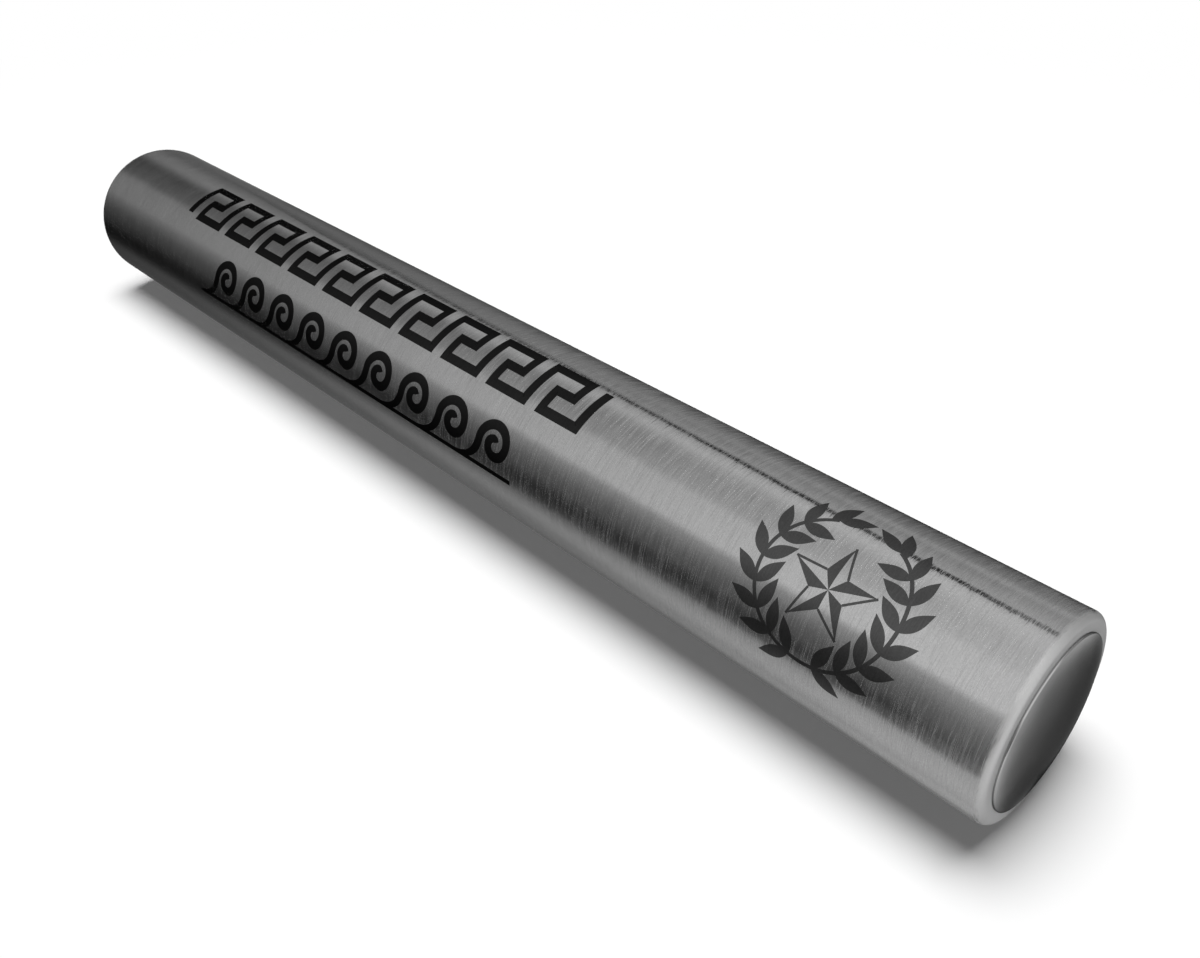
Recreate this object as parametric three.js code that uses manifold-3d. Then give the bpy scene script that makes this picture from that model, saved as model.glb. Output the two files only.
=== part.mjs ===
// A relay baton: one seamless aluminium tube whose wall is rolled inward at both ends, and a
// pressed aluminium cap in each end, held by a ring of spring fingers behind the rolled lip.
// Lengths are millimetres. The baton lies along X with its centre at the origin, and +Z is up.

import * as THREE from "three";
import { mergeVertices } from "three/addons/utils/BufferGeometryUtils.js";
import Module from "manifold-3d";

const wasm = await Module();
wasm.setup();

// Tube
const tubeLength = 290; // from one rolled lip to the other, without the crowns of the caps
const tubeDiameter = 38.1;
const tubeWall = 1;
const lipBendInside = 0.5; // inside radius of the bend where the wall turns inward
const lipFlatWidth = 2.55; // flat of the lip, from the bend to the opening
const lipEdgeRadius = 0.4; // rounding of the lip's cut edge

// Cap head, which sits on the lip
const capSheet = 0.8;
const capHeadOverlap = 1; // how far the head reaches out over the lip
const capEdgeHeight = 0.4;
const capEdgeRadius = 0.2; // rounding under the head's rim
const capCrownHeight = 1.8;
const capCrownPower = 2.5; // 2 is a round crown, and more is flatter in the middle

// Cap skirt, which goes through the lip and snaps behind it
const neckClearance = 0.3; // each side, between the neck and the lip's cut edge
const fingerCount = 8;
const fingerSlotWidth = 2.5;
const fingerRoot = 0.6; // neck left whole under the head
const beadGap = 0.3; // between the lip's inner face and the start of the bead
const beadCatch = 0.6; // how far the bead reaches out behind the lip
const beadRampLength = 0.6;
const beadLandLength = 0.8;
const fingerTaperLength = 4.2;
const fingerTaperDrop = 0.5; // how far the finger ends draw in from the neck

// Facets
const facetsAround = 64;
const bendSteps = 5;
const edgeSteps = 2;
const crownSteps = 8;
const crownInsideSteps = 4;

const cutOverrun = 1;

const tubeRadius = tubeDiameter / 2;
const lipPlane = tubeLength / 2;
const lipBendOutside = lipBendInside + tubeWall;
const lipOpeningRadius = tubeRadius - lipBendOutside - lipFlatWidth;
const capHeadRadius = lipOpeningRadius + capHeadOverlap;
const neckRadius = lipOpeningRadius - neckClearance;
const beadRadius = lipOpeningRadius + beadCatch;

const brushedAluminium = new THREE.MeshStandardMaterial({
  color: 0xb4b4b6,
  roughness: 0.34,
  metalness: 1,
});
const satinAluminium = new THREE.MeshStandardMaterial({
  color: 0x9b9b9d,
  roughness: 0.42,
  metalness: 1,
});

// Outlines are lists of [along, radius] points: the distance along the axis and the distance
// from it. An angle of 0 degrees points outward along the axis, and 90 points away from it.
function arc([along, radius], size, from, to, steps) {
  return Array.from({ length: steps + 1 }, (_, i) => {
    const angle = THREE.MathUtils.degToRad(THREE.MathUtils.lerp(from, to, i / steps));
    return [along + size * Math.cos(angle), radius + size * Math.sin(angle)];
  });
}

// A solid of revolution round Y. Laid along X, it has a facet and not an edge at the bottom.
function revolved(outline) {
  const points = outline.map(([along, radius]) => new THREE.Vector2(radius, along));
  return bare(new THREE.LatheGeometry(points, facetsAround, Math.PI / facetsAround));
}

function bare(geometry) {
  geometry.deleteAttribute("normal");
  geometry.deleteAttribute("uv");
  return mergeVertices(geometry);
}

function asSolid(geometry) {
  return new wasm.Manifold(
    new wasm.Mesh({
      numProp: 3,
      vertProperties: geometry.attributes.position.array,
      triVerts: new Uint32Array(geometry.index.array),
    }),
  );
}

function asGeometry(solid) {
  const { vertProperties, triVerts } = solid.getMesh();
  const geometry = new THREE.BufferGeometry();
  geometry.setAttribute("position", new THREE.BufferAttribute(vertProperties, 3));
  geometry.setIndex(new THREE.BufferAttribute(triVerts, 1));
  return geometry;
}

// One rolled end: the outside of the bend, the lip's cut edge, and the inside of the bend.
function rolledEnd() {
  const edge = Math.min(lipEdgeRadius, tubeWall / 2, lipFlatWidth);
  const bendCentre = [lipPlane - lipBendOutside, tubeRadius - lipBendOutside];
  const outerEdgeCentre = [lipPlane - edge, lipOpeningRadius + edge];
  const innerEdgeCentre = [lipPlane - tubeWall + edge, lipOpeningRadius + edge];
  return [
    ...arc(bendCentre, lipBendOutside, 90, 0, bendSteps),
    ...arc(outerEdgeCentre, edge, 0, -90, edgeSteps),
    ...arc(innerEdgeCentre, edge, -90, -180, edgeSteps),
    ...arc(bendCentre, lipBendInside, 0, 90, bendSteps),
  ];
}

function batonTube() {
  const frontEnd = rolledEnd();
  const rearEnd = frontEnd.map(([along, radius]) => [-along, radius]).reverse();
  return revolved([...rearEnd, ...frontEnd, rearEnd[0]]);
}

// Height of the crowned head over the lip's face.
function headHeight(radius) {
  const share = radius / capHeadRadius;
  return capEdgeHeight + capCrownHeight * (1 - share ** capCrownPower);
}

// A crown's outline from a radius inward to the axis.
function crown(fromRadius, steps, sheet) {
  return Array.from({ length: steps + 1 }, (_, i) => {
    const radius = fromRadius * (1 - i / steps);
    return [headHeight(radius) - sheet, radius];
  });
}

// The outside of the skirt, from the neck inward: bead, land and tapered finger ends.
function skirtOutside() {
  const beadStart = -tubeWall - beadGap;
  const landStart = beadStart - beadRampLength;
  const landEnd = landStart - beadLandLength;
  const taperStart = landEnd - beadRampLength;
  return [
    [beadStart, neckRadius],
    [landStart, beadRadius],
    [landEnd, beadRadius],
    [taperStart, neckRadius],
    [taperStart - fingerTaperLength, neckRadius - fingerTaperDrop],
  ];
}

function endCap() {
  const skirt = skirtOutside();
  const skirtInside = skirt.map(([along, radius]) => [along, radius - capSheet]);
  const rim = Math.min(capEdgeRadius, capEdgeHeight, capHeadOverlap);
  const whole = asSolid(
    revolved([
      ...crown(neckRadius - capSheet, crownInsideSteps, capSheet).reverse(),
      ...skirtInside,
      ...skirt.reverse(),
      [0, neckRadius],
      ...arc([rim, capHeadRadius - rim], rim, 180, 90, edgeSteps),
      ...crown(capHeadRadius, crownSteps, 0),
    ]),
  );

  // Each slot cutter crosses the whole skirt, so it parts two opposite pairs of fingers.
  const [fingerEnd] = skirt[0];
  const slotTop = -fingerRoot;
  const slotDepth = slotTop - fingerEnd + cutOverrun;
  const slotSpan = 2 * (beadRadius + cutOverrun);
  const slots = Array.from({ length: fingerCount / 2 }, (_, i) => {
    const cutter = new THREE.BoxGeometry(fingerSlotWidth, slotDepth, slotSpan);
    cutter.translate(0, slotTop - slotDepth / 2, 0);
    cutter.rotateY((i * 2 * Math.PI) / fingerCount);
    return asSolid(bare(cutter));
  });
  return asGeometry(slots.reduce((solid, slot) => solid.subtract(slot), whole));
}

function laidAlongX(name, geometry, material, along, turn) {
  const mesh = new THREE.Mesh(geometry, material);
  mesh.name = name;
  mesh.position.x = along;
  mesh.rotation.z = turn;
  return mesh;
}

const toFront = -Math.PI / 2;
const toRear = Math.PI / 2;
const baton = new THREE.Group();
baton.add(
  laidAlongX("baton_tube", batonTube(), brushedAluminium, 0, toFront),
  laidAlongX("front_end_cap", endCap(), satinAluminium, lipPlane, toFront),
  laidAlongX("rear_end_cap", endCap(), satinAluminium, -lipPlane, toRear),
);

export default baton;
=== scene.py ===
# The looks of a relay baton: a brushed aluminium tube with smooth rolled ends, a crowned satin
# cap in each end, and traditional ornament etched round its front side. Lengths are in metres.
import math

import bmesh
import bpy
from mathutils import Matrix, Vector


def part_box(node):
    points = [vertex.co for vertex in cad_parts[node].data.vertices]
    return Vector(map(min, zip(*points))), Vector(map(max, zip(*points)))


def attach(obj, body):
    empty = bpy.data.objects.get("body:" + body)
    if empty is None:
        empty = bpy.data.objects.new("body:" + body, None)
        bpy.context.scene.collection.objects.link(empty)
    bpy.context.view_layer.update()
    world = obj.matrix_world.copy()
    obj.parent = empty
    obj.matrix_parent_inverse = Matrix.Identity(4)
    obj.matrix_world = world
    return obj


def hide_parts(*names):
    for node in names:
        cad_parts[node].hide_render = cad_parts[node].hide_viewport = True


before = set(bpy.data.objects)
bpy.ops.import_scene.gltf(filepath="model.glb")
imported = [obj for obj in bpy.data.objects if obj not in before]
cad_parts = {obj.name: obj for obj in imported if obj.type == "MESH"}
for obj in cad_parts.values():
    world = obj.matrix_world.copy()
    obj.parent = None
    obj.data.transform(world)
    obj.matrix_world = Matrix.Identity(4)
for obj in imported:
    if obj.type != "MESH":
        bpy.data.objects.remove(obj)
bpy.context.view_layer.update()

MM = 0.001

# Sizes that the CAD parts in model.glb give
CAD_FACETS = 64
_, tube_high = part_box("baton_tube")
cap_low, cap_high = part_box("front_end_cap")
facet_to_radius = 1 / math.cos(math.pi / CAD_FACETS)
tube_radius = tube_high.z * facet_to_radius
lip_plane = tube_high.x
head_radius = cap_high.z * facet_to_radius
head_height = cap_high.x - lip_plane
finger_end = cap_low.x - lip_plane

# Sizes of the rolled end and the cap, as the solids have them
TUBE_WALL = 1.0 * MM
LIP_BEND_INSIDE = 0.5 * MM
LIP_FLAT_WIDTH = 2.55 * MM
LIP_EDGE_RADIUS = 0.4 * MM
CAP_SHEET = 0.8 * MM
CAP_EDGE_HEIGHT = 0.4 * MM
CAP_CROWN_POWER = 2.5
NECK_CLEARANCE = 0.3 * MM
FINGER_COUNT = 8
FINGER_SLOT_WIDTH = 2.5 * MM
FINGER_ROOT = 0.6 * MM
BEAD_GAP = 0.3 * MM
BEAD_CATCH = 0.6 * MM
BEAD_RAMP_LENGTH = 0.6 * MM
BEAD_LAND_LENGTH = 0.8 * MM
FINGER_TAPER_DROP = 0.5 * MM

lip_bend_outside = LIP_BEND_INSIDE + TUBE_WALL
lip_opening = tube_radius - lip_bend_outside - LIP_FLAT_WIDTH
neck_radius = lip_opening - NECK_CLEARANCE
bead_radius = lip_opening + BEAD_CATCH

# Where the photograph's camera stands, for an image of 1200 by 958 pixels
IMAGE_WIDTH = 1200
FOCAL_PIXELS = 1143.0
CENTRE_OFFSET = (40.3, 28.5)
CAMERA_PLACE = Vector((185.68, -132.61, 136.01)) * MM
CAMERA_HEADING = 134.37
CAMERA_DIP = 34.44
SENSOR_WIDTH = 36


class Signal:
    """What comes out of a node. Arithmetic on it adds Math nodes."""

    def __init__(self, graph, socket):
        self.graph = graph
        self.socket = socket

    def maths(self, operation, *values):
        return self.graph.node("ShaderNodeMath", {"operation": operation}, dict(enumerate(values)))

    def __add__(self, other):
        return self.maths("ADD", self, other)

    def __sub__(self, other):
        return self.maths("SUBTRACT", self, other)

    def __rsub__(self, other):
        return self.maths("SUBTRACT", other, self)

    def __mul__(self, other):
        return self.maths("MULTIPLY", self, other)

    __radd__ = __add__
    __rmul__ = __mul__

    def size(self):
        return self.maths("ABSOLUTE", self)

    def greatest(self, other):
        return self.maths("MAXIMUM", self, other)

    def least(self, other):
        return self.maths("MINIMUM", self, other)

    def between(self, low, high):
        """0 below low, 1 above high, and a smooth step from one to the other."""
        settings = {"interpolation_type": "SMOOTHSTEP"}
        return self.graph.node("ShaderNodeMapRange", settings, {0: self, 1: low, 2: high})


class Graph:
    """The nodes of one material or world."""

    def __init__(self, owner):
        owner.use_nodes = True
        self.tree = owner.node_tree
        self.tree.nodes.clear()

    def node(self, kind, settings=None, inputs=None, output=0):
        made = self.tree.nodes.new(kind)
        for name, value in (settings or {}).items():
            setattr(made, name, value)
        for name, value in (inputs or {}).items():
            if isinstance(value, Signal):
                self.tree.links.new(value.socket, made.inputs[name])
            else:
                made.inputs[name].default_value = value
        return Signal(self, made.outputs[output]) if made.outputs else None

    def vector(self, operation, *values):
        return self.node("ShaderNodeVectorMath", {"operation": operation}, dict(enumerate(values)))

    def scaled(self, vector, share):
        return self.node("ShaderNodeVectorMath", {"operation": "SCALE"}, {0: vector, "Scale": share})

    def grey(self, tone):
        return self.node("ShaderNodeCombineColor", None, {0: tone, 1: tone, 2: tone})

    def place(self):
        """The place on the piece. It was made along Z, and X points down once it is laid down."""
        return self.node("ShaderNodeTexCoord", output="Object")

    def place_on(self, axis):
        return self.node("ShaderNodeSeparateXYZ", None, {0: self.place()}, axis)


def even_grey(tone):
    return (tone, tone, tone, 1)


def new_material(name):
    material = bpy.data.materials.new(name)
    return material, Graph(material)


def noise(graph, along, around, seed, detail=2.0):
    """Noise from 0 to 1, with features of one length along the axis and another round it."""
    stretch = (1 / around, 1 / around, 1 / along)
    spot = graph.vector("MULTIPLY_ADD", graph.place(), stretch, (seed, seed * 0.7, seed * 1.3))
    inputs = {"Vector": spot, "Scale": 1.0, "Detail": detail, "Roughness": 0.5}
    return graph.node("ShaderNodeTexNoise", {"noise_dimensions": "3D"}, inputs)


# Brushing: fine scratches that run round the tube
BRUSH_TONE = 0.60
BRUSH_SHADE = 0.97
BRUSH_ROUGHNESS = 0.14
BRUSH_ANISOTROPY = 1.0
QUARTER_TURN = 0.25
BRUSH_EDGE_TONE = 0.25

# The brushing is faint towards the rear end and on the lower half
FAINT_DEPTH = 0.3
FAINT_FROM = -60 * MM
FULL_FROM = 60 * MM
LOWER_HALF_LOSS = 0.7
LOWER_HALF_BLEND = 2 * MM

# What the brushing is made of: each kind's length along the axis, its length round the tube, and
# its seed.
HAIRS = (0.14 * MM, 3 * MM, 3.1)
LINES = (0.22 * MM, 7 * MM, 7.7)
MARKS = (0.4 * MM, 7 * MM, 4.6)
DARK_LINES = (0.25 * MM, 6 * MM, 6.8)
SWATHES = (3 * MM, 20 * MM, 1.9)
PATCHES = (18 * MM, 14 * MM, 5.3)
GRAIN = (0.2 * MM, 0.3 * MM, 9.2)

# Where the noise of a kind is low there is no scratch, and where it is high there is a full one
LINES_SHOW = (0.46, 0.66)
MARKS_SHOW = (0.50, 0.72)
DARK_LINES_SHOW = (0.50, 0.70)

# What each kind does to the metal
HAIR_TILT = 0.45
STEEPEST_HAIR = 0.14
SWATHE_TILT = 0.02
HAIR_SHADE = 0.32
GRAIN_SHADE = 0.42
PATCH_SHADE = 0.06
DARK_LINE_SHADE = 0.12
LINE_DULLNESS = 0.08
MARK_DULLNESS = 0.10
LINE_ROUGHNESS = 0.12
MARK_ROUGHNESS = 0.06
PATCH_ROUGHNESS = 0.06

# Tiny pits, drawn only as dark dots: the shade in them is painted into the colour, as the surface has
# no hollows for them
PIT_SPACING = 6 * MM
PIT_SIZE = 0.16 * MM
PIT_SHARE = 0.25
PIT_SEED = 4.4
PIT_PAINTED_SHADE = 0.9
HARD_STEP = 0.001


def tilted_by_scratches(graph, tilt):
    """The surface's normal, tilted round the tube by an angle that changes from scratch to scratch."""
    normal = graph.node("ShaderNodeTexCoord", output="Normal")
    around = graph.vector("CROSS_PRODUCT", (0, 0, 1), normal)
    tilted = graph.vector("NORMALIZE", graph.vector("ADD", normal, graph.scaled(around, tilt)))
    to_world = {"vector_type": "NORMAL", "convert_from": "OBJECT", "convert_to": "WORLD"}
    return graph.node("ShaderNodeVectorTransform", to_world, {0: tilted})


def pits(graph):
    """1 in a few tiny round pits and 0 elsewhere. Only a share of the cells has a pit."""
    spot = graph.vector("MULTIPLY_ADD", graph.place(), (1 / PIT_SPACING,) * 3, (PIT_SEED,) * 3)
    nearest = {"feature": "F1"}
    cells = {"Vector": spot, "Scale": 1.0}
    distance = graph.node("ShaderNodeTexVoronoi", nearest, cells)
    chance = graph.node("ShaderNodeTexVoronoi", nearest, cells, "Color")
    pick = graph.node("ShaderNodeSeparateColor", None, {0: chance})
    size = PIT_SIZE / PIT_SPACING
    near = 1 - distance.between(size * 0.5, size)
    return near * (1 - pick.between(PIT_SHARE, PIT_SHARE + HARD_STEP))


def brushing_depth(graph):
    depth = FAINT_DEPTH + graph.place_on("Z").between(FAINT_FROM, FULL_FROM) * (1 - FAINT_DEPTH)
    lower_half = graph.place_on("X").between(-LOWER_HALF_BLEND, LOWER_HALF_BLEND)
    return depth * (1 - lower_half * LOWER_HALF_LOSS)


def brushed_finish(graph):
    """Brushed metal. Dull scratches among bright ones catch the room's light as pale streaks."""
    depth = brushing_depth(graph)
    hairs = noise(graph, *HAIRS)
    lines = noise(graph, *LINES).between(*LINES_SHOW)
    marks = noise(graph, *MARKS).between(*MARKS_SHOW)
    dark_lines = noise(graph, *DARK_LINES).between(*DARK_LINES_SHOW)
    swathes = noise(graph, *SWATHES)
    patches = noise(graph, *PATCHES)
    grain = noise(graph, *GRAIN)

    slope = (hairs - 0.5) * 2
    tilt = (slope * slope * slope * HAIR_TILT).least(STEEPEST_HAIR).greatest(-STEEPEST_HAIR)
    tilt = (tilt + (swathes - 0.5) * SWATHE_TILT) * depth
    shade = BRUSH_SHADE + (hairs - 0.5) * HAIR_SHADE + (grain - 0.5) * GRAIN_SHADE
    shade = shade + (patches - 0.5) * PATCH_SHADE - dark_lines * depth * DARK_LINE_SHADE
    # Painted shade of the tiny pits
    shade = shade * (1 - pits(graph) * PIT_PAINTED_SHADE)
    dull = (lines * LINE_DULLNESS).greatest(marks * MARK_DULLNESS) * depth
    rough = (lines * LINE_ROUGHNESS + marks * MARK_ROUGHNESS) * depth
    return graph.node(
        "ShaderNodeBsdfPrincipled",
        None,
        {
            "Base Color": graph.grey(shade * BRUSH_TONE),
            "Metallic": 1 - dull,
            "Roughness": BRUSH_ROUGHNESS + (patches - 0.5) * PATCH_ROUGHNESS + rough,
            "Anisotropic": BRUSH_ANISOTROPY,
            "Anisotropic Rotation": QUARTER_TURN,
            "Specular Tint": even_grey(BRUSH_EDGE_TONE),
            "Normal": tilted_by_scratches(graph, tilt),
        },
    )


SATIN_GRAIN = (0.35 * MM, 0.35 * MM, 2.3)
SATIN_CLOUDS = (5 * MM, 5 * MM, 8.4)
SATIN_GRAIN_SHADE = 0.10
SATIN_CLOUD_SHADE = 0.04
SATIN_CLOUD_ROUGHNESS = 0.08
PEEL_STRENGTH = 0.03
PEEL_HEIGHT = 0.02 * MM


def satin_finish(graph, tone, roughness, edge_tone):
    """Smooth satin metal with a faint orange-peel."""
    grain = noise(graph, *SATIN_GRAIN, detail=4.0)
    clouds = noise(graph, *SATIN_CLOUDS)
    shade = 1 + (grain - 0.5) * SATIN_GRAIN_SHADE + (clouds - 0.5) * SATIN_CLOUD_SHADE
    peel = {"Strength": PEEL_STRENGTH, "Distance": PEEL_HEIGHT, "Height": grain}
    return graph.node(
        "ShaderNodeBsdfPrincipled",
        None,
        {
            "Base Color": graph.grey(shade * tone),
            "Metallic": 1.0,
            "Roughness": roughness + (clouds - 0.5) * SATIN_CLOUD_ROUGHNESS,
            "Specular Tint": even_grey(edge_tone),
            "Normal": graph.node("ShaderNodeBump", None, peel),
        },
    )


def show(graph, shader):
    graph.node("ShaderNodeOutputMaterial", None, {"Surface": shader})


# The rolled ends are smooth. The brushing stops raggedly where they start, and is a little worn
# before the front one.
RIM_TONE = 0.62
RIM_ROUGHNESS = 0.58
RIM_WIDTH = 1.9 * MM
RIM_RAGS = (0.5 * MM, 3 * MM, 6.1)
RIM_RAGGED = 1.8 * MM
RIM_BLEND = 1.2 * MM
RIM_EDGE_TONE = 0.05
WEAR = 0.26
WEAR_LENGTH = 22 * MM
WEAR_HAIRS = (0.3 * MM, 5 * MM, 2.7)


def tube_material():
    material, graph = new_material("brushed tube")
    along = graph.place_on("Z")
    ragged = (noise(graph, *RIM_RAGS, detail=3.0) - 0.5) * RIM_RAGGED
    rim_from = lip_plane - RIM_WIDTH
    rolled = (along.size() + ragged).between(rim_from, rim_from + RIM_BLEND)
    hairs = 0.5 + noise(graph, *WEAR_HAIRS)
    worn = along.between(lip_plane - WEAR_LENGTH, lip_plane) * hairs * WEAR
    brushed = brushed_finish(graph)
    satin = satin_finish(graph, RIM_TONE, RIM_ROUGHNESS, RIM_EDGE_TONE)
    finishes = {0: rolled.greatest(worn), 1: brushed, 2: satin}
    show(graph, graph.node("ShaderNodeMixShader", None, finishes))
    return material


CAP_TONE = 0.46
CAP_ROUGHNESS = 0.18
CAP_EDGE_TONE = 0.2


def cap_material():
    material, graph = new_material("satin cap")
    show(graph, satin_finish(graph, CAP_TONE, CAP_ROUGHNESS, CAP_EDGE_TONE))
    return material


BAND_TONE = 0.035
WREATH_TONE = 0.11
ETCH_GRAIN = (0.3 * MM, 0.3 * MM, 1.4)
ETCH_SHADE = 0.5
ETCH_ROUGHNESS = 0.36
ETCH_GRAIN_ROUGHNESS = 0.1
ETCH_EDGE_TONE = 0.2


def etched_material(name, tone):
    """Dark etched metal, through which the brushing shows."""
    material, graph = new_material(name)
    hairs = noise(graph, *HAIRS)
    grain = noise(graph, *ETCH_GRAIN, detail=3.0)
    shade = 1 + (hairs - 0.5) * ETCH_SHADE + (grain - 0.5) * ETCH_SHADE
    etch = graph.node(
        "ShaderNodeBsdfPrincipled",
        None,
        {
            "Base Color": graph.grey(shade * tone),
            "Metallic": 1.0,
            "Roughness": ETCH_ROUGHNESS + (grain - 0.5) * ETCH_GRAIN_ROUGHNESS,
            "Specular Tint": even_grey(ETCH_EDGE_TONE),
        },
    )
    show(graph, etch)
    return material


def arc(centre, size, start, end, steps):
    """Points on an arc. Angle 0 points outward along the axis, and 90 away from it."""
    turns = [math.radians(start + (end - start) * i / steps) for i in range(steps + 1)]
    return [(centre[0] + size * math.cos(t), centre[1] + size * math.sin(t)) for t in turns]


ON_AXIS = 1e-9


def revolved(name, outline, around):
    """A body of revolution round its own Z from a closed outline of (along, radius) points."""
    mesh = bmesh.new()
    turns = [2 * math.pi * i / around for i in range(around)]
    rings = []
    for along, radius in outline:
        if radius < ON_AXIS:
            rings.append([mesh.verts.new((0, 0, along))] * around)
            continue
        ring = [(radius * math.cos(t), radius * math.sin(t), along) for t in turns]
        rings.append([mesh.verts.new(corner) for corner in ring])
    for ring, after in zip(rings, rings[1:] + rings[:1]):
        for i in range(around):
            corners = [ring[i], ring[i - 1], after[i - 1], after[i]]

            # A ring on the axis is a single corner, so the faces that meet there are triangles
            face = [v for n, v in enumerate(corners) if v not in corners[:n]]
            if len(face) > 2:
                mesh.faces.new(face)
    bmesh.ops.recalc_face_normals(mesh, faces=mesh.faces)
    return as_object(name, mesh)


def lay_down(piece):
    """Lays a piece that was made along Z along the baton's axis, and makes it ride with the CAD."""
    piece.rotation_euler = (0, math.pi / 2, 0)
    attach(piece, "root")


def as_object(name, mesh, smooth=True):
    data = bpy.data.meshes.new(name)
    mesh.to_mesh(data)
    mesh.free()
    if smooth:
        data.shade_smooth()
    made = bpy.data.objects.new(name, data)
    bpy.context.scene.collection.objects.link(made)
    return made


TUBE_AROUND = 256
BEND_STEPS = 14
EDGE_STEPS = 6

# Extra rings beside each bend, which keep the shading of the flats even
SUPPORT = 0.15 * MM


def rolled_end():
    bend = (lip_plane - lip_bend_outside, tube_radius - lip_bend_outside)
    outer_edge = (lip_plane - LIP_EDGE_RADIUS, lip_opening + LIP_EDGE_RADIUS)
    inner_edge = (lip_plane - TUBE_WALL + LIP_EDGE_RADIUS, lip_opening + LIP_EDGE_RADIUS)
    return [
        (bend[0] - SUPPORT, tube_radius),
        *arc(bend, lip_bend_outside, 90, 0, BEND_STEPS),
        (lip_plane, bend[1] - SUPPORT),
        (lip_plane, outer_edge[1] + SUPPORT),
        *arc(outer_edge, LIP_EDGE_RADIUS, 0, -90, EDGE_STEPS),
        *arc(inner_edge, LIP_EDGE_RADIUS, -90, -180, EDGE_STEPS),
        *arc(bend, LIP_BEND_INSIDE, 0, 90, BEND_STEPS),
    ]


def make_tube():
    front = rolled_end()
    rear = [(-along, radius) for along, radius in reversed(front)]
    tube = revolved("brushed_tube", rear + front, TUBE_AROUND)
    tube.data.materials.append(tube_material())
    lay_down(tube)
    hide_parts("baton_tube")


CAP_AROUND = 192
CROWN_STEPS = 24
CROWN_INSIDE_STEPS = 8
CUT_OVERRUN = 1 * MM
CAP_SHARP_ANGLE = math.radians(40)


def head_rise(radius):
    crown = head_height - CAP_EDGE_HEIGHT
    return CAP_EDGE_HEIGHT + crown * (1 - (radius / head_radius) ** CAP_CROWN_POWER)


def crown_line(radius, steps, sheet):
    radii = [radius * (1 - i / steps) for i in range(steps + 1)]
    return [(head_rise(r) - sheet, r) for r in radii]


def skirt_outside():
    bead_start = -TUBE_WALL - BEAD_GAP
    land_start = bead_start - BEAD_RAMP_LENGTH
    land_end = land_start - BEAD_LAND_LENGTH
    return [
        (bead_start, neck_radius),
        (land_start, bead_radius),
        (land_end, bead_radius),
        (land_end - BEAD_RAMP_LENGTH, neck_radius),
        (finger_end, neck_radius - FINGER_TAPER_DROP),
    ]


def cut_slots(cap):
    """Cuts the slots that part the skirt into fingers."""
    cutters = bmesh.new()
    depth = -FINGER_ROOT - finger_end + CUT_OVERRUN
    span = 2 * (bead_radius + CUT_OVERRUN)
    place = Matrix.Translation((0, 0, -FINGER_ROOT - depth / 2))
    size = Matrix.Diagonal((FINGER_SLOT_WIDTH, span, depth, 1))
    for i in range(FINGER_COUNT // 2):
        turn = Matrix.Rotation(2 * math.pi * i / FINGER_COUNT, 4, "Z")
        bmesh.ops.create_cube(cutters, size=1, matrix=turn @ place @ size)
    cutter = as_object("slot_cutter", cutters, smooth=False)
    cut = cap.modifiers.new("slots", "BOOLEAN")
    cut.operation = "DIFFERENCE"
    cut.solver = "EXACT"
    cut.use_self = True
    cut.object = cutter
    view = bpy.context.evaluated_depsgraph_get()
    cut_mesh = bpy.data.meshes.new_from_object(cap.evaluated_get(view))
    cap.modifiers.clear()
    cap.data = cut_mesh
    bpy.data.objects.remove(cutter)


HEAD_UNDER_RADIUS = 0.06 * MM
HEAD_TOP_RADIUS = 0.20 * MM
HEAD_TOP_DROP = 0.75
CROWN_SLOPE_AT_RIM = 16


def head_edge():
    """The head's rim: rounded under its edge and over it, up to where the crown starts."""
    under = (HEAD_UNDER_RADIUS, head_radius - HEAD_UNDER_RADIUS)
    over = (CAP_EDGE_HEIGHT - HEAD_TOP_RADIUS * HEAD_TOP_DROP, head_radius - HEAD_TOP_RADIUS)
    return [
        *arc(under, HEAD_UNDER_RADIUS, 180, 90, EDGE_STEPS),
        *arc(over, HEAD_TOP_RADIUS, 90, CROWN_SLOPE_AT_RIM, EDGE_STEPS),
    ]


def cap_outline():
    skirt = skirt_outside()
    inside = [(along, radius - CAP_SHEET) for along, radius in skirt]
    return [
        *reversed(crown_line(neck_radius - CAP_SHEET, CROWN_INSIDE_STEPS, CAP_SHEET)),
        *inside,
        *reversed(skirt),
        (0, neck_radius),
        *head_edge(),
        *crown_line(head_radius - 2 * HEAD_TOP_RADIUS, CROWN_STEPS, 0),
    ]


def make_caps():
    cap = revolved("front_cap", cap_outline(), CAP_AROUND)
    cut_slots(cap)
    cap.data.transform(Matrix.Translation((0, 0, lip_plane)))
    cap.data.shade_smooth()
    cap.data.set_sharp_from_angle(angle=CAP_SHARP_ANGLE)
    cap.data.materials.clear()
    cap.data.materials.append(cap_material())

    rear_cap = cap.copy()
    rear_cap.name = "rear_cap"
    rear_cap.data = cap.data.copy()
    rear_cap.data.transform(Matrix.Rotation(math.pi, 4, "Y"))
    bpy.context.scene.collection.objects.link(rear_cap)
    for piece, node in ((cap, "front_end_cap"), (rear_cap, "rear_end_cap")):
        lay_down(piece)
        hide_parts(node)


# Etched ornament. It is drawn on the unrolled tube: the first number runs along the axis, and the
# second round the tube from where its surface faces the camera's side level with the floor.
ETCH_PROUD = 0.02 * MM
ETCH_DEEP = 0.05 * MM
ETCH_COLUMNS = 6
ETCH_STEP = 0.5 * MM
ETCH_SHARP_ANGLE = math.radians(30)
THINNEST = 0.03 * MM


def round_tube(facing):
    """The length round the tube up to an angle in degrees."""
    return math.radians(facing) * tube_radius


def on_tube(spot, rise):
    turn = spot.y / tube_radius
    radius = tube_radius + rise
    return (-radius * math.sin(turn), -radius * math.cos(turn), spot.x)


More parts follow.
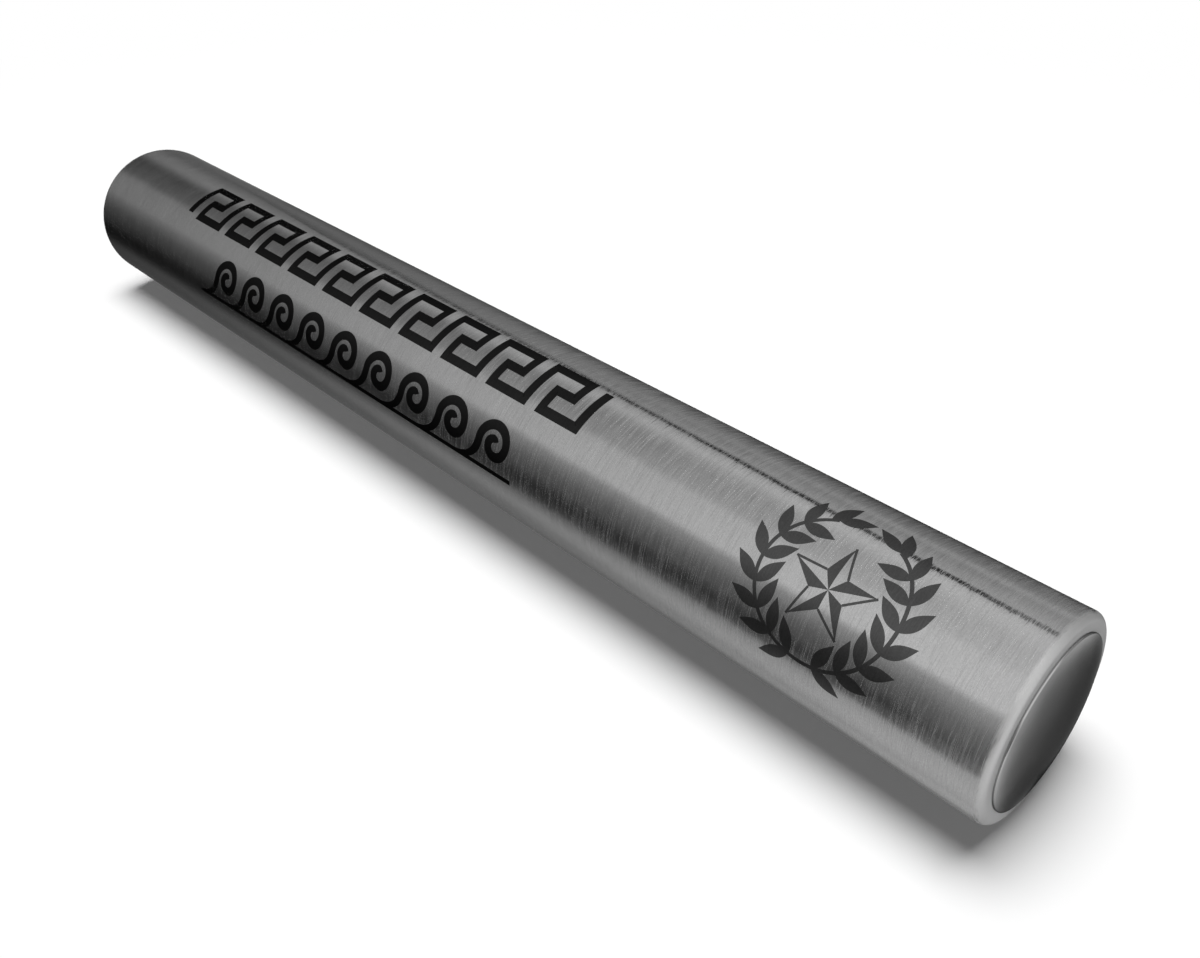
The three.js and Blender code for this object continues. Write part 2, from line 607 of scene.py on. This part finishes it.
def inlay(mesh, pairs):
    """A thin closed body on the tube between a left and a right edge, given as pairs of points."""
    loops = []
    for left, right in pairs:
        across = [left.lerp(right, i / ETCH_COLUMNS) for i in range(ETCH_COLUMNS + 1)]
        top = [mesh.verts.new(on_tube(spot, ETCH_PROUD)) for spot in across]
        bottom = [mesh.verts.new(on_tube(spot, -ETCH_DEEP)) for spot in reversed(across)]
        loops.append(top + bottom)
    for loop, after in zip(loops, loops[1:]):
        for i in range(len(loop)):
            mesh.faces.new((loop[i - 1], loop[i], after[i], after[i - 1]))
    mesh.faces.new(reversed(loops[0]))
    mesh.faces.new(loops[-1])


def side_of(start, end):
    along = (end - start).normalized()
    return Vector((-along.y, along.x))


def stroke(mesh, path, half_widths):
    """An inlaid stroke along a path, mitred at its corners."""
    sides = [side_of(start, end) for start, end in zip(path, path[1:])]
    pairs = []
    for i, spot in enumerate(path):
        before = sides[max(i - 1, 0)]
        after = sides[min(i, len(sides) - 1)]
        mitre = (before + after).normalized()
        reach = max(half_widths[i], THINNEST) / mitre.dot(before)
        pairs.append((spot + mitre * reach, spot - mitre * reach))
    inlay(mesh, pairs)


def in_steps(corners):
    """A path through the corners, in steps short enough to bend round the tube."""
    path = [corners[0]]
    for start, end in zip(corners, corners[1:]):
        steps = math.ceil((end - start).length / ETCH_STEP)
        path += [start.lerp(end, i / steps) for i in range(1, steps + 1)]
    return path


def finish_etching(name, mesh, material):
    bmesh.ops.recalc_face_normals(mesh, faces=mesh.faces)
    etching = as_object(name, mesh)
    etching.data.set_sharp_from_angle(angle=ETCH_SHARP_ANGLE)
    etching.data.materials.append(material)
    lay_down(etching)


# Upper band: a Greek key, measured in its own squares
KEY_FROM = -103 * MM
KEY_TO = 50 * MM
KEY_FACINGS = (53, 90)
KEY_COUNT = 10
KEY_TURNS = ((0, 0), (0, 4), (4, 4), (4, 2), (2, 2), (2, 0))
KEY_PERIOD = 6
KEY_HEIGHT = 4
KEY_STROKE = 0.84


def make_key_band(material):
    low, high = (round_tube(facing) for facing in KEY_FACINGS)
    square_up = (high - low) / (KEY_HEIGHT + KEY_STROKE)
    square_along = (KEY_TO - KEY_FROM) / (KEY_COUNT * KEY_PERIOD + KEY_STROKE)
    turns = [(across + KEY_PERIOD * i, up) for i in range(KEY_COUNT) for across, up in KEY_TURNS]
    turns += [(KEY_COUNT * KEY_PERIOD, 0), (KEY_COUNT * KEY_PERIOD, KEY_HEIGHT)]
    start = Vector((KEY_FROM, low)) + Vector((square_along, square_up)) * KEY_STROKE / 2
    corners = [start + Vector((across * square_along, up * square_up)) for across, up in turns]
    path = in_steps(corners)
    mesh = bmesh.new()
    stroke(mesh, path, [KEY_STROKE * square_up / 2] * len(path))
    finish_etching("etched_key_band", mesh, material)


# Lower band: a running scroll, measured in its own height. The margin is the base line's length
# before the first wave, as a share of a wave.
WAVE_FROM = -85 * MM
WAVE_TO = 38 * MM
WAVE_FACINGS = (3, 40)
WAVE_COUNT = 9
WAVE_MARGIN = 0.3
WAVE_BASE = 0.08

# The tail of a wave starts back on the base line, and is upright where it meets the curl
TAIL_STEPS = 30
TAIL_BACK = 0.42
TAIL_FOOT = 0.04
TAIL_UPRIGHT = 0.30

# The curl: its centre along the wave, its turns, and its radius at its two ends
CURL_STEPS = 60
CURL_CENTRE = 0.56
CURL_TURNS = 1.35
CURL_OUTER = 0.38
CURL_INNER = 0.06

# The stroke's half width at its widest, its share of that at both ends, and how soon it widens
WAVE_WIDEST = 0.085
TAIL_WIDTH = 0.35
TAIL_WIDENS = 2.4
CURL_WIDTH = 0.6
CURL_WIDENS = 2.2


def curve(start, first_pull, second_pull, end, t):
    """The point at share t on a curve that two points pull to themselves."""
    rest = 1 - t
    ends = start * rest ** 3 + end * t ** 3
    return ends + first_pull * (3 * t * rest ** 2) + second_pull * (3 * t * t * rest)


def wave_path(period):
    """One wave: a tail that rises from the base line and curls in on itself."""
    centre = Vector((period * CURL_CENTRE, 1 - CURL_OUTER - WAVE_WIDEST))
    entry = centre - Vector((CURL_OUTER, 0))
    start = Vector((-period * TAIL_BACK, TAIL_FOOT))
    flat = start + Vector((period * TAIL_BACK, 0))
    upright = entry - Vector((0, TAIL_UPRIGHT))
    path = [curve(start, flat, upright, entry, i / TAIL_STEPS) for i in range(TAIL_STEPS)]
    for i in range(CURL_STEPS + 1):
        share = i / CURL_STEPS
        turn = math.pi - 2 * math.pi * CURL_TURNS * share
        reach = CURL_OUTER + (CURL_INNER - CURL_OUTER) * share
        path.append(centre + Vector((math.cos(turn), math.sin(turn))) * reach)
    return path


def wave_half_width(share):
    """The stroke's half width at a share of the wave's path."""
    from_tail = TAIL_WIDTH + TAIL_WIDENS * share
    from_curl = CURL_WIDTH + CURL_WIDENS * (1 - share)
    return WAVE_WIDEST * min(1, from_tail, from_curl)


def make_wave_band(material):
    low, high = (round_tube(facing) for facing in WAVE_FACINGS)
    size = high - low
    period = (WAVE_TO - WAVE_FROM) / size / (WAVE_COUNT + WAVE_MARGIN)
    path = wave_path(period)
    half_widths = [size * wave_half_width(i / (len(path) - 1)) for i in range(len(path))]
    mesh = bmesh.new()
    for i in range(WAVE_COUNT):
        origin = Vector((WAVE_FROM + (i + WAVE_MARGIN) * period * size, low))
        stroke(mesh, [origin + spot * size for spot in path], half_widths)
    half_base = size * WAVE_BASE / 2
    base = in_steps([Vector((WAVE_FROM, low + half_base)), Vector((WAVE_TO, low + half_base))])
    stroke(mesh, base, [half_base] * len(base))
    finish_etching("etched_wave_band", mesh, material)


# Laurel wreath round a five-pointed star. A turn of 0 is the foot of the wreath's circle, and turns
# run up each branch from there.
WREATH_ALONG = 110.5 * MM
WREATH_FACING = 48
WREATH_RADIUS = 13.3 * MM
BRANCH_FOOT = -7
BRANCH_TOP = 153
BRANCH_STEPS = 60
BRANCH_HALF_WIDTH = 0.35 * MM

# Each leaf but the last has a twin inside the wreath
LEAF_COUNT = 8
LEAF_FIRST = 10
LEAF_LAST = 147
LEAF_LENGTH = 6.4 * MM
LEAF_HALF_WIDTH = 1.2 * MM
LEAF_SPREAD_OUT = 34
LEAF_SPREAD_IN = 54
LEAF_STEPS = 14

# Below 1, a leaf is broadest nearer its foot
LEAF_BROADEST = 0.85

STAR_RAYS = 5
STAR_RADIUS = 8.4 * MM
STAR_WAIST = 0.42
STAR_STEPS = 12
STAR_CORE = 0.01
STAR_LINE = 0.22 * MM


def on_circle(radius, turn):
    """A point at a turn round the wreath's centre, up its right side."""
    angle = math.radians(turn - 90)
    centre = Vector((WREATH_ALONG, round_tube(WREATH_FACING)))
    return centre + Vector((math.cos(angle), math.sin(angle))) * radius


def leaf(mesh, side, turn, spread):
    """A leaf at a turn of the branch, which leans off it to the inside by the spread in degrees."""
    forward = side * turn + (0 if side > 0 else 180)
    heading = math.radians(forward + side * spread)
    foot = on_circle(WREATH_RADIUS, side * turn)
    tip = Vector((math.cos(heading), math.sin(heading))) * LEAF_LENGTH
    shares = [i / LEAF_STEPS for i in range(LEAF_STEPS + 1)]
    path = [foot + tip * share for share in shares]
    bulges = [math.sin(math.pi * share ** LEAF_BROADEST) for share in shares]
    stroke(mesh, path, [LEAF_HALF_WIDTH * bulge for bulge in bulges])


def make_branch(mesh, side):
    """One branch of the wreath: side is 1 for the right one and -1 for the left one."""
    shares = [i / BRANCH_STEPS for i in range(BRANCH_STEPS + 1)]
    turns = [BRANCH_FOOT + (BRANCH_TOP - BRANCH_FOOT) * share for share in shares]
    stem = [on_circle(WREATH_RADIUS, side * turn) for turn in turns]
    stroke(mesh, stem, [BRANCH_HALF_WIDTH] * len(stem))
    for i in range(LEAF_COUNT):
        turn = LEAF_FIRST + (LEAF_LAST - LEAF_FIRST) * i / (LEAF_COUNT - 1)
        leaf(mesh, side, turn, -LEAF_SPREAD_OUT)
        if i < LEAF_COUNT - 1:
            leaf(mesh, side, turn, LEAF_SPREAD_IN)
    leaf(mesh, side, BRANCH_TOP, 0)


def make_star(mesh):
    """A star with one half of each ray filled in and the other half's edge drawn as a line."""
    centre = on_circle(0, 0)
    half_ray = 180 / STAR_RAYS
    shares = [max(i / STAR_STEPS, STAR_CORE) for i in range(STAR_STEPS + 1)]
    for i in range(STAR_RAYS):
        turn = 180 + 2 * half_ray * i
        tip = on_circle(STAR_RADIUS, turn)
        filled = on_circle(STAR_RADIUS * STAR_WAIST, turn + half_ray)
        inlay(mesh, [(centre.lerp(tip, share), centre.lerp(filled, share)) for share in shares])
        edge = in_steps([tip, on_circle(STAR_RADIUS * STAR_WAIST, turn - half_ray)])
        stroke(mesh, edge, [STAR_LINE] * len(edge))


def make_wreath(material):
    mesh = bmesh.new()
    make_branch(mesh, 1)
    make_branch(mesh, -1)
    make_star(mesh)
    finish_etching("etched_wreath", mesh, material)


def make_camera():
    data = bpy.data.cameras.new("camera")
    data.sensor_width = SENSOR_WIDTH
    data.lens = FOCAL_PIXELS / IMAGE_WIDTH * SENSOR_WIDTH
    data.shift_x = -CENTRE_OFFSET[0] / IMAGE_WIDTH
    data.shift_y = -CENTRE_OFFSET[1] / IMAGE_WIDTH
    data.clip_start = 1 * MM
    camera = bpy.data.objects.new("camera", data)
    camera.location = CAMERA_PLACE
    camera.rotation_euler = (math.radians(90 - CAMERA_DIP), 0, math.radians(CAMERA_HEADING - 90))
    bpy.context.scene.collection.objects.link(camera)
    bpy.context.scene.camera = camera


def only_in_reflections(panel):
    """A panel of the light tent: metal mirrors it, and nothing else sees it."""
    panel.visible_camera = False
    panel.visible_diffuse = False
    panel.visible_transmission = False
    panel.visible_shadow = False
    panel.visible_volume_scatter = False


def scattered(graph):
    """1 for light that the paper scatters, and 0 for what the eye sees with or without mirrors."""
    return graph.node("ShaderNodeLightPath", output="Diffuse Depth").least(1)


def mirrored_first(graph):
    """1 for what metal mirrors straight to the eye, and 0 for all else."""
    mirrored = graph.node("ShaderNodeLightPath", output="Is Glossy Ray")
    return mirrored * (1 - scattered(graph))


# How strongly every panel lights the paper by way of the metal
PANEL_SPILL = 0.31


def glowing(name):
    """A glow that is as strong as the mesh's own tone at each place."""
    material, graph = new_material(name)
    tone = graph.node("ShaderNodeAttribute", {"attribute_name": "tone"}, output="Color")
    direct = graph.scaled(tone, 1 - scattered(graph))
    inputs = {
        "Base Color": even_grey(0),
        "Roughness": 1.0,
        "Specular IOR Level": 0.0,
        "Emission Color": graph.vector("ADD", direct, graph.grey(scattered(graph) * PANEL_SPILL)),
        "Emission Strength": 1.0,
    }
    show(graph, graph.node("ShaderNodeBsdfPrincipled", None, inputs))
    return material


def toned_sheet(name, rows, material):
    """A sheet through rows of (point, tone)."""
    mesh = bmesh.new()
    tone = mesh.verts.layers.float_color.new("tone")
    grid = []
    for row in rows:
        line = []
        for point, value in row:
            corner = mesh.verts.new(point)
            corner[tone] = even_grey(value)
            line.append(corner)
        grid.append(line)
    for row, after in zip(grid, grid[1:]):
        for i in range(len(row) - 1):
            mesh.faces.new((row[i], row[i + 1], after[i + 1], after[i]))
    sheet = as_object(name, mesh, smooth=False)
    sheet.data.materials.append(material)
    only_in_reflections(sheet)


# The light tent. Each row is one seam of its cloth, named by the angle above the horizon at which
# the tube's surface faces the camera's side where it mirrors that seam: first at the front end of
# the baton, then at its rear end. Its glow at those two places follows.
TENT_RADIUS = 400 * MM
TENT_LIFT = 0.3 * MM
TENT_SEAMS = [
    # The paper under the baton, painted dark there as its shadow, and in front of it
    (-45, -45, 0.15, 0.08),
    (-35, -35, 0.28, 0.14),
    (-25, -25, 1.30, 0.21),
    (-15, -17, 0.68, 0.195),
    (-5, -9, 0.63, 0.20),
    (4, -3, 0.54, 0.04),
    # A dark strip where the paper meets the cloth
    (8, 3, 0.15, 0.008),
    (14, 9, 0.06, 0.010),
    (20, 20, 0.12, 0.065),
    (29, 29, 0.22, 0.12),
    # The broad front panel
    (36, 35, 0.40, 0.21),
    (40, 39, 0.82, 0.26),
    (56, 55, 0.77, 0.25),
    (60, 60, 0.66, 0.11),
    # The panel over the baton
    (70, 74, 0.61, 0.064),
    (76, 78, 0.70, 0.09),
    (80, 83, 0.72, 0.36),
    (87, 92, 0.48, 0.36),
    # The panel behind it
    (96, 101, 0.34, 0.29),
    (100, 104, 0.52, 0.33),
    (104, 107, 0.35, 0.50),
    (110, 110, 0.33, 0.85),
    # The paper behind the baton, painted dark close to it as its shadow
    (119, 119, 0.42, 0.30),
    (124, 124, 0.08, 0.04),
    (130, 130, 0.04, 0.03),
]

# Where the seams have their corners, as shares of half the tube's length. Past both ends a seam
# goes on changing, but only by this share of its change between them.
TENT_STATIONS = [2.4, 2, 1.6, 1.3] + [1 - i / 12 for i in range(25)] + [-1.2, -1.5, -2, -3, -5, -9]
TENT_CHANGE_PAST_ENDS = 0.3


def mirrored_ray(along, facing):
    """Where the camera's line of sight starts and points after the tube mirrors it."""
    turn = math.radians(facing)
    normal = Vector((0, -math.cos(turn), math.sin(turn)))
    point = Vector((along, 0, 0)) + normal * tube_radius
    return point, (point - CAMERA_PLACE).normalized().reflect(normal)


def on_tent(point, ray):
    """Where a ray meets the tent: its round roof, or the floor before that."""
    across = Vector((0, ray.y, ray.z))
    start = Vector((0, point.y, point.z))
    a = across.dot(across)
    b = start.dot(across)
    c = start.dot(start) - TENT_RADIUS ** 2
    reach = (-b + math.sqrt(b * b - a * c)) / a
    floor_reach = (TENT_LIFT - tube_radius - point.z) / ray.z if ray.z < 0 else reach
    return point + ray * min(reach, floor_reach)


def make_tent():
    material = glowing("tent glow")
    rows = []
    for front_facing, rear_facing, front_tone, rear_tone in TENT_SEAMS:
        row = []
        for station in TENT_STATIONS:
            along = lip_plane * station
            share = min(max((1 - station) / 2, -TENT_CHANGE_PAST_ENDS), 1 + TENT_CHANGE_PAST_ENDS)
            facing = front_facing + (rear_facing - front_facing) * share
            tone = front_tone * (rear_tone / front_tone) ** share
            row.append((on_tent(*mirrored_ray(along, facing)), tone))
        rows.append(row)
    toned_sheet("light_tent", rows, material)


# A dark gap in the tent behind the baton, which the top of the tube mirrors as a fine line.
# Each place on it has the share of half the tube's length and the facing that mirror it, and the
# gap's width there in millimetres.
GAP_DISTANCE = 200 * MM
GAP_PLACES = [(1.08, 83.7, 66), (0.96, 84.4, 62), (0.41, 88.8, 42), (0.0, 92.6, 42), (-0.41, 96.0, 30)]
GAP_TONE = 0.0


def make_gap():
    rows = [[], []]
    for share, facing, width in GAP_PLACES:
        point, ray = mirrored_ray(lip_plane * share, facing)
        middle = point + ray * ((GAP_DISTANCE - point.y) / ray.y)
        rows[0].append((middle - Vector((0, 0, width * MM / 2)), GAP_TONE))
        rows[1].append((middle + Vector((0, 0, width * MM / 2)), GAP_TONE))
    toned_sheet("tent_gap", rows, glowing("gap glow"))


# A dark sheet just over the paper, painted as the shade at the front end's foot, which the crowned
# cap mirrors. It is laid out in rings. Each has the radius on the cap, in millimetres, at which the
# camera sees it mirrored, and its glow.
SHADE_RINGS = [(-9, 0), (0, 0), (6, 0), (10, 0), (12, 0.01), (14, 0.07), (15, 0.17), (16, 0.42)]

# The apron is the paper round the rings, which the rolled end mirrors. Each facing round the cap
# has three shares: of the rings' glow, of the apron's spread, and of the apron's glow.
SHADE_SIDES = [
    (-75, 0, 0.1, 0.3),
    (-50, 0, 0.1, 0.4),
    (-30, 1.8, 0.1, 0.7),
    (-10, 2.3, 1, 1),
    (10, 1.7, 1, 1),
    (30, 1.1, 1, 1),
    (60, 0.85, 1, 1),
    (75, 1.1, 1, 1),
    (90, 2.1, 1, 0.9),
    (105, 3.2, 1, 0.25),
    (120, 4.0, 1, 0.05),
    (135, 1.5, 1, 0.03),
    (165, 0, 1, 0),
]
SHADE_DARK = 0.27
SHADE_LIFT = 0.6 * MM

# The apron's own rings. Each has its distance from the outermost ring of the shade, as a share of
# how far that one is from the middle, and its glow.
APRON_NEAR = (0.3, 0.62)
APRON_FAR = [(1.2, 1.0), (5, 1.1)]
APRON_DARK = 0.03


def crown_ray(radius, facing):
    """Where the camera's line of sight starts and points after the cap's crown mirrors it."""
    turn = math.radians(facing)
    outward = Vector((0, -math.cos(turn), math.sin(turn)))
    share = abs(radius) / head_radius
    crown = head_height - CAP_EDGE_HEIGHT
    slope = crown * CAP_CROWN_POWER * share ** (CAP_CROWN_POWER - 1) / head_radius
    normal = (Vector((1, 0, 0)) + outward * math.copysign(slope, radius)).normalized()
    point = Vector((lip_plane + head_rise(abs(radius)), 0, 0)) + outward * radius
    return point, (point - CAMERA_PLACE).normalized().reflect(normal)


def on_paper(point, ray):
    return point + ray * ((SHADE_LIFT - tube_radius - point.z) / ray.z)


def make_end_shade():
    rows = []
    middle = on_paper(*crown_ray(0, 0))
    for facing, share, spread, apron_share in SHADE_SIDES:
        row = []
        for radius, glow in SHADE_RINGS:
            row.append((on_paper(*crown_ray(radius * MM, facing)), SHADE_DARK + glow * share))
        edge = row[-1][0]
        rings = [(APRON_NEAR[0], APRON_NEAR[1] * min(share, 1))]
        rings += [(reach, glow * apron_share) for reach, glow in APRON_FAR]
        for reach, glow in rings:
            row.append((edge + (edge - middle) * reach * spread, max(glow, APRON_DARK)))
        rows.append(row)
    toned_sheet("end_shade", rows, glowing("end shade glow"))


# A dark sheet just over the paper, painted as the baton's own shadow on it, which its underside
# mirrors. Each line of it has its place across the baton in millimetres and its glow.
FOOT_SIDES = [(-9, 0.20), (-6, 0.05), (0, 0.02), (14, 0.03), (28, 0.20), (44, 0.30), (54, 0.14)]
FOOT_LIFT = 0.4 * MM
FOOT_OVERHANG = 3 * MM

# Past the rear end, where the rear cap mirrors it, the painted shadow spreads and dies away. Each
# place has its distance from the cap in millimetres, how much wider the far side is there, and how
# much lighter the paper. The lightening grows across to the far side, and doubles this far across.
FOOT_TAIL = [
    (0, 1, 0),
    (25, 1.1, 0.02),
    (60, 1.5, 0.08),
    (120, 2.3, 0.17),
    (260, 4, 0.32),
    (800, 10, 0.6),
]
FOOT_DOUBLES_AT = 40


def make_foot_shade():
    height = FOOT_LIFT - tube_radius
    rows = []
    for side, glow in FOOT_SIDES:
        row = [(Vector((cap_high.x + FOOT_OVERHANG, side * MM, height)), glow)]
        for distance, spread, lighter in FOOT_TAIL:
            reach = side * spread if side > 0 else side
            place = Vector((-cap_high.x - distance * MM, reach * MM, height))
            row.append((place, glow + lighter * (1 + max(side, 0) / FOOT_DOUBLES_AT)))
        rows.append(row)
    toned_sheet("foot_shade", rows, glowing("foot shade glow"))


FLOOR_SIZE = 4.0
FLOOR_TONE = 0.965

# The paper turns into the white room between these distances from the baton's middle
CLEAR_FROM = 260 * MM
CLEAR_TO = 420 * MM


def make_floor():
    """White paper that takes the baton's shadow and fades into the white room."""
    mesh = bmesh.new()
    bmesh.ops.create_grid(mesh, x_segments=1, y_segments=1, size=FLOOR_SIZE)
    floor = as_object("floor", mesh, smooth=False)
    floor.location.z = -tube_radius
    material, graph = new_material("white paper")
    length = {"operation": "LENGTH"}
    distance = graph.node("ShaderNodeVectorMath", length, {0: graph.place()}, output="Value")
    clear = distance.between(CLEAR_FROM, CLEAR_TO).greatest(mirrored_first(graph))
    paper = graph.node("ShaderNodeBsdfDiffuse", None, {"Color": even_grey(FLOOR_TONE)})
    white = graph.node("ShaderNodeEmission", None, {"Color": even_grey(1), "Strength": 1.0})
    show(graph, graph.node("ShaderNodeMixShader", None, {0: clear, 1: paper, 2: white}))
    floor.data.materials.append(material)


# The room looks white, and lights the baton this much
ROOM_GLOW = 0.15


def make_room():
    world = bpy.data.worlds.new("white room")
    bpy.context.scene.world = world
    graph = Graph(world)
    path = "ShaderNodeLightPath"
    seen = graph.node(path, output="Is Camera Ray")
    through = graph.node(path, output="Is Transmission Ray")
    shown = seen.greatest(mirrored_first(graph)).greatest(through)
    glow = ROOM_GLOW + (1 - ROOM_GLOW) * shown
    light = graph.node("ShaderNodeBackground", None, {"Color": even_grey(1), "Strength": glow})
    graph.node("ShaderNodeOutputWorld", None, {"Surface": light})


LAMP_STRENGTH = 2.86
LAMP_SPREAD = 37
LAMP_FROM = Vector((-0.10, 0.02, 1.0))


def make_lamp():
    """A broad lamp over the baton, a little towards its rear end. It throws the soft shadow."""
    data = bpy.data.lights.new("lamp", "SUN")
    data.energy = LAMP_STRENGTH
    data.angle = math.radians(LAMP_SPREAD)
    lamp = bpy.data.objects.new("lamp", data)
    lamp.rotation_euler = LAMP_FROM.to_track_quat("Z", "Y").to_euler()
    lamp.visible_glossy = False
    bpy.context.scene.collection.objects.link(lamp)


bpy.context.scene.view_settings.view_transform = "Standard"
make_camera()
make_room()
make_lamp()
make_floor()
make_tent()
make_gap()
make_end_shade()
make_foot_shade()
make_tube()
make_caps()
band_etching = etched_material("etched band", BAND_TONE)
make_key_band(band_etching)
make_wave_band(band_etching)
make_wreath(etched_material("etched wreath", WREATH_TONE))
